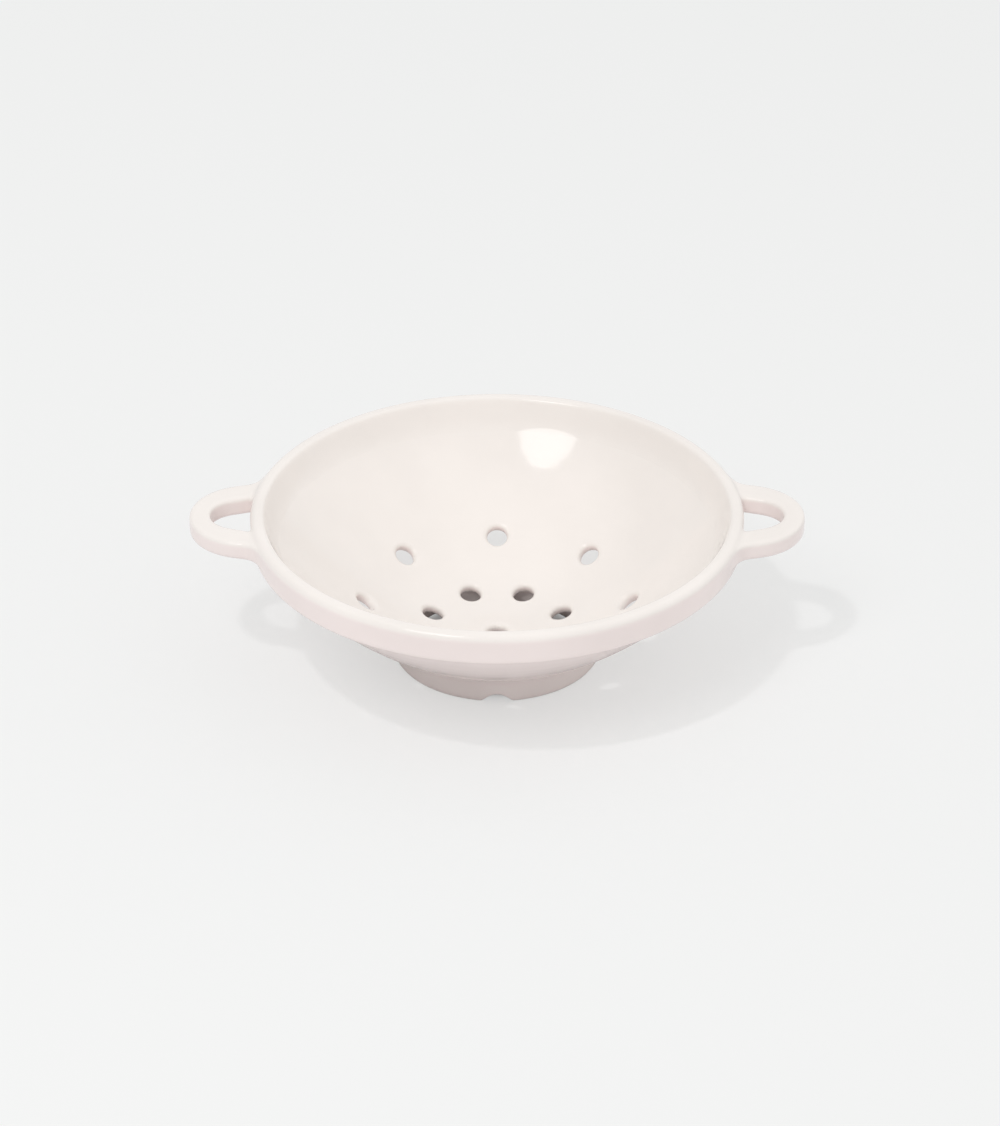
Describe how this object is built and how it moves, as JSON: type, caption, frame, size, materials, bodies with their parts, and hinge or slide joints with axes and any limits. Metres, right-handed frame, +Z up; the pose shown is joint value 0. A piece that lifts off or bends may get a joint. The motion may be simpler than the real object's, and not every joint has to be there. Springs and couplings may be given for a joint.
{
  "type": "berry colander bowl",
  "caption": "Shallow round stoneware colander bowl with drain holes through its floor, a thick rim band, side loop handles and a notched foot ring.",
  "frame": {"origin": "on the surface the bowl stands on, under the middle of the foot ring", "axes": "+X through the right-hand handle, +Y away from the viewer across the handles, +Z up"},
  "size_m": [0.23, 0.1846, 0.0606],
  "materials": {
    "glazed_stoneware": "glossy warm white glaze"
  },
  "bodies": {
    "root": {"bowl_shell": "glazed_stoneware", "rim_band": "glazed_stoneware", "foot_ring": "glazed_stoneware", "handle_left": "glazed_stoneware", "handle_right": "glazed_stoneware"}
  },
  "joints": []
}
